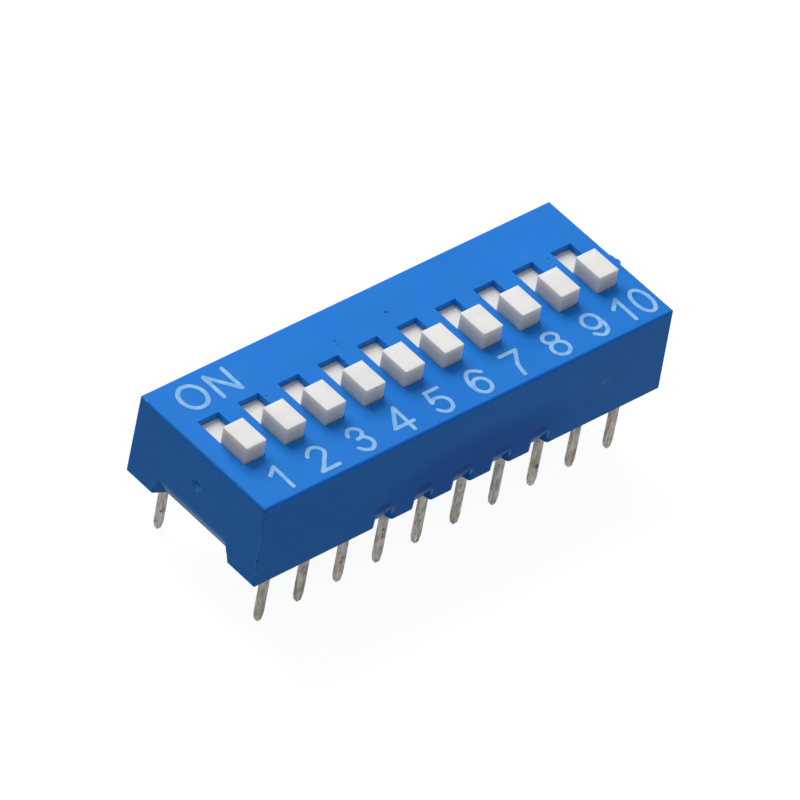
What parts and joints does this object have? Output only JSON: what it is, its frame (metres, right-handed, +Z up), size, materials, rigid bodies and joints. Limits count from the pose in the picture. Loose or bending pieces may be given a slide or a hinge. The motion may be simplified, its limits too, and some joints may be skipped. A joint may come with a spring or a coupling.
{
  "type": "dip switch",
  "caption": "Slide DIP switch for a circuit board: blue moulded body, raised white knobs that slide on and off, and two rows of straight pins below.",
  "frame": {"origin": "centre of the pin grid on the circuit board's surface, which is the plane that the housing's walls stand on", "axes": "+X along the row of switches from the first to the last, +Y across the body towards the ON side, +Z up out of the board, with the pins reaching below Z = 0"},
  "size_m": [0.0267, 0.0096, 0.01],
  "materials": {
    "blue_housing": "satin, fine moulded grain",
    "blue_base": "satin",
    "white_slider": "satin",
    "gilt_contact": "bright gold plating",
    "tinned_terminal": "dull tin plating",
    "print_ink": "thin pad print"
  },
  "bodies": {
    "switch_body": {"housing": "blue_housing", "base": "blue_base", "terminal_1": "tinned_terminal", "terminal_2": "tinned_terminal", "terminal_3": "tinned_terminal", "terminal_4": "tinned_terminal", "terminal_5": "tinned_terminal", "terminal_6": "tinned_terminal", "terminal_7": "tinned_terminal", "terminal_8": "tinned_terminal", "terminal_9": "tinned_terminal", "terminal_10": "tinned_terminal", "terminal_11": "tinned_terminal", "terminal_12": "tinned_terminal", "terminal_13": "tinned_terminal", "terminal_14": "tinned_terminal", "terminal_15": "tinned_terminal", "terminal_16": "tinned_terminal", "terminal_17": "tinned_terminal", "terminal_18": "tinned_terminal", "terminal_19": "tinned_terminal", "terminal_20": "tinned_terminal"},
    "switch_1": {"slider_1": "white_slider", "contact_clip_1": "gilt_contact"},
    "switch_2": {"slider_2": "white_slider", "contact_clip_2": "gilt_contact"},
    "switch_3": {"slider_3": "white_slider", "contact_clip_3": "gilt_contact"},
    "switch_4": {"slider_4": "white_slider", "contact_clip_4": "gilt_contact"},
    "switch_5": {"slider_5": "white_slider", "contact_clip_5": "gilt_contact"},
    "switch_6": {"slider_6": "white_slider", "contact_clip_6": "gilt_contact"},
    "switch_7": {"slider_7": "white_slider", "contact_clip_7": "gilt_contact"},
    "switch_8": {"slider_8": "white_slider", "contact_clip_8": "gilt_contact"},
    "switch_9": {"slider_9": "white_slider", "contact_clip_9": "gilt_contact"},
    "switch_10": {"slider_10": "white_slider", "contact_clip_10": "gilt_contact"}
  },
  "joints": [
    {"name": "switch_1_slide", "type": "slide", "parent": "switch_body", "child": "switch_1", "axis": [0, 1, 0], "range_m": [0, 0.0016]},
    {"name": "switch_2_slide", "type": "slide", "parent": "switch_body", "child": "switch_2", "axis": [0, 1, 0], "range_m": [0, 0.0016]},
    {"name": "switch_3_slide", "type": "slide", "parent": "switch_body", "child": "switch_3", "axis": [0, 1, 0], "range_m": [0, 0.0016]},
    {"name": "switch_4_slide", "type": "slide", "parent": "switch_body", "child": "switch_4", "axis": [0, 1, 0], "range_m": [0, 0.0016]},
    {"name": "switch_5_slide", "type": "slide", "parent": "switch_body", "child": "switch_5", "axis": [0, 1, 0], "range_m": [0, 0.0016]},
    {"name": "switch_6_slide", "type": "slide", "parent": "switch_body", "child": "switch_6", "axis": [0, 1, 0], "range_m": [0, 0.0016]},
    {"name": "switch_7_slide", "type": "slide", "parent": "switch_body", "child": "switch_7", "axis": [0, 1, 0], "range_m": [0, 0.0016]},
    {"name": "switch_8_slide", "type": "slide", "parent": "switch_body", "child": "switch_8", "axis": [0, 1, 0], "range_m": [0, 0.0016]},
    {"name": "switch_9_slide", "type": "slide", "parent": "switch_body", "child": "switch_9", "axis": [0, 1, 0], "range_m": [0, 0.0016]},
    {"name": "switch_10_slide", "type": "slide", "parent": "switch_body", "child": "switch_10", "axis": [0, 1, 0], "range_m": [0, 0.0016]}
  ]
}
